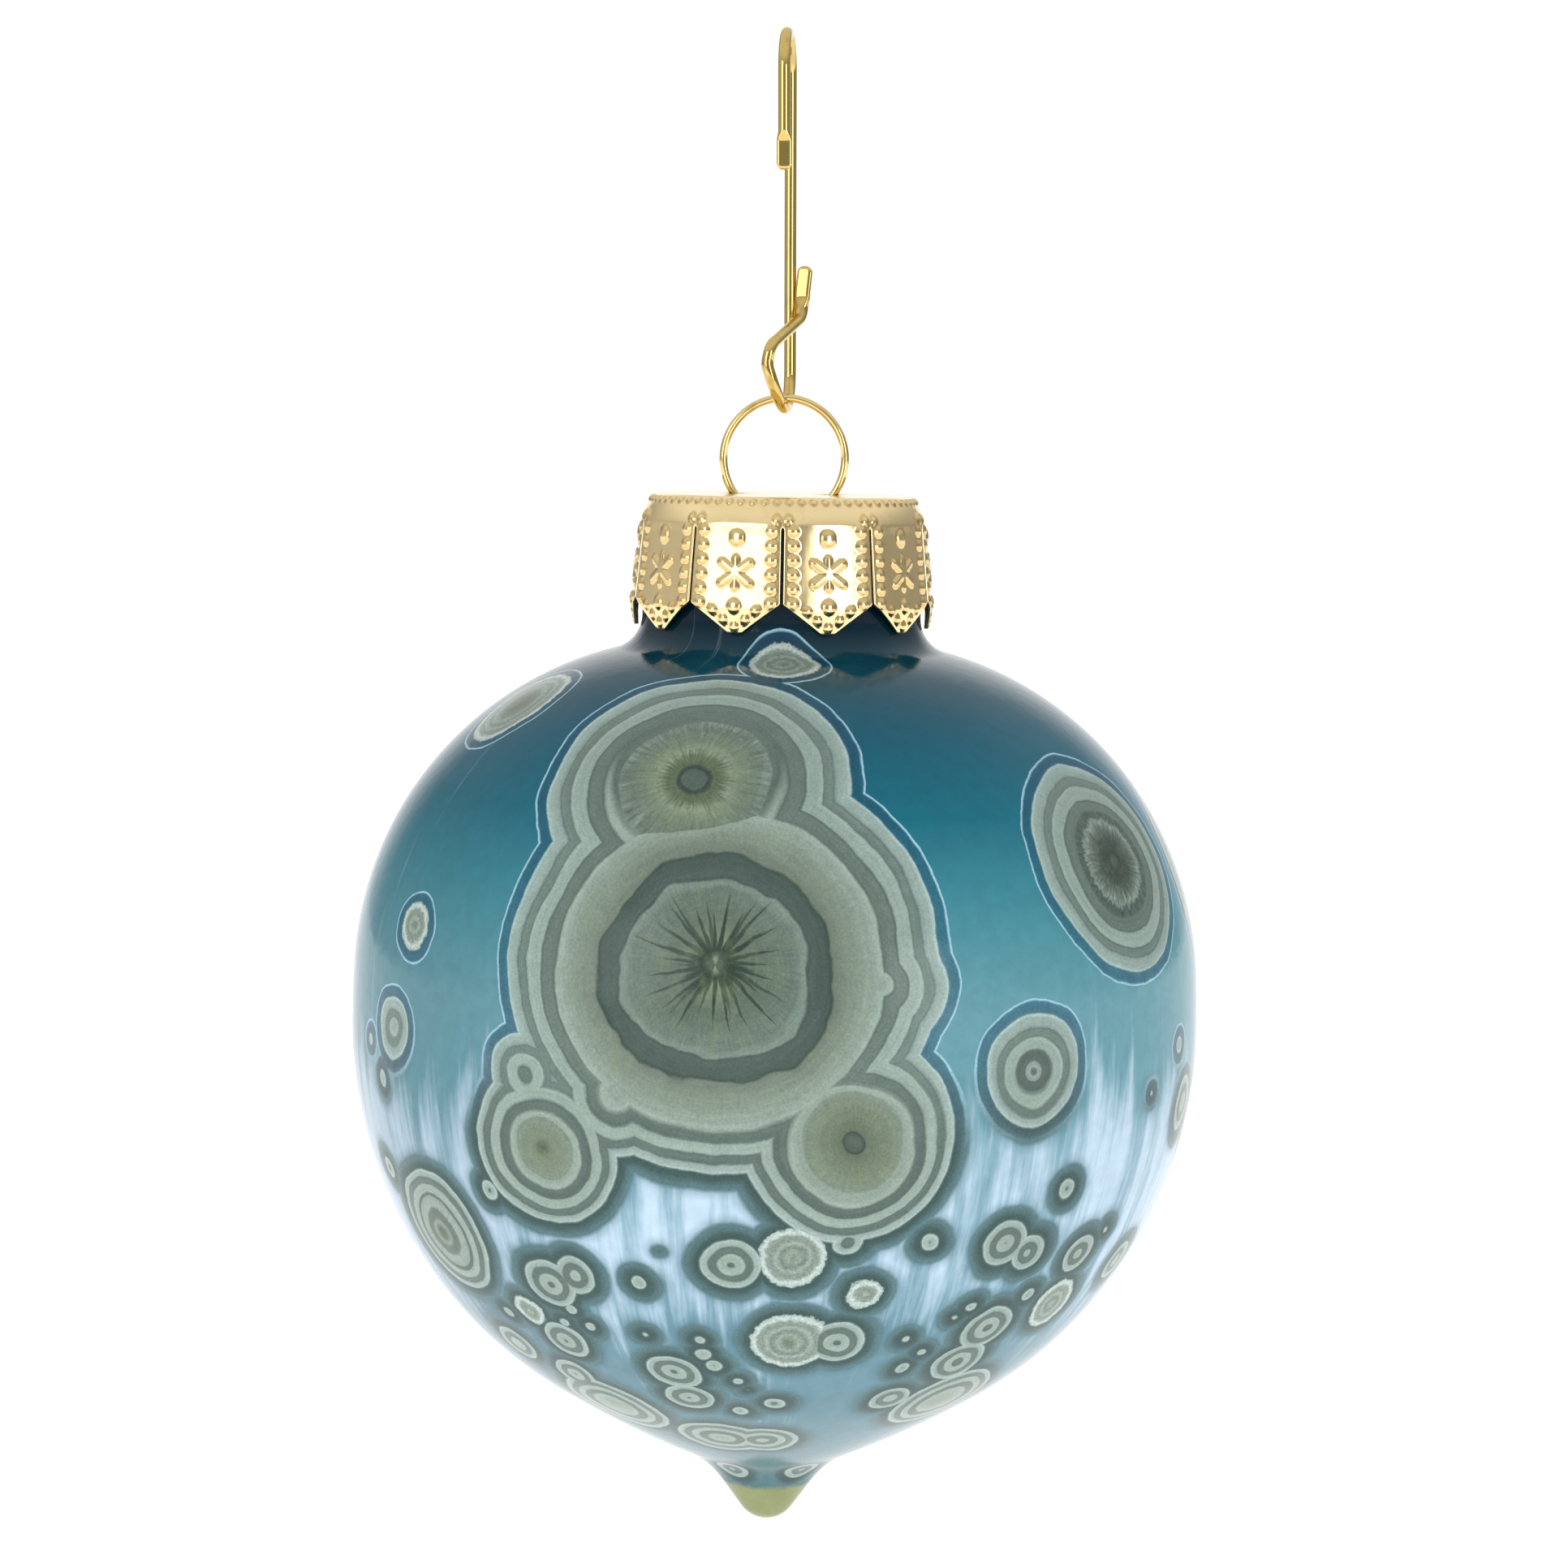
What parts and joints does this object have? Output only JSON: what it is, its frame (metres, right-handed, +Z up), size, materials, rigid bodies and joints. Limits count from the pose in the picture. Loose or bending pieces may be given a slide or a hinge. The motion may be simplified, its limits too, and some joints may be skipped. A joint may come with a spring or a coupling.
{
  "type": "hanging ornament",
  "caption": "Hollow glazed porcelain drop ornament with a stamped metal cap, a spring-wire ring clip and a bent-wire hanger hook.",
  "frame": {"origin": "centre of the hook's crook, where a rail or twig goes through", "axes": "+Z up along the hanging axis, +X along the rail, Y through the crook's opening"},
  "size_m": [0.07, 0.07, 0.1239],
  "materials": {
    "crystalline_glaze": "gloss",
    "cap_metal": "polished",
    "clip_wire": "polished",
    "hook_wire": "satin"
  },
  "bodies": {
    "hook": {"hanger_hook": "hook_wire"},
    "clip": {"wire_clip": "clip_wire"},
    "crown": {"cap": "cap_metal"},
    "drop": {"porcelain_bulb": "crystalline_glaze"}
  },
  "joints": [
    {"name": "ring_swing", "type": "hinge", "parent": "hook", "child": "clip", "pos_m": [0.0003, 0, -0.0273], "axis": [0, 1, 0], "range_deg": [-90, 90]},
    {"name": "clip_tilt", "type": "hinge", "parent": "clip", "child": "crown", "pos_m": [0.0003, 0, -0.03449], "axis": [1, 0, 0], "range_deg": [-15, 15]},
    {"name": "drop_pull_off", "type": "slide", "parent": "crown", "child": "drop", "axis": [0, 0, -1], "range_m": [0, 0.03]}
  ]
}
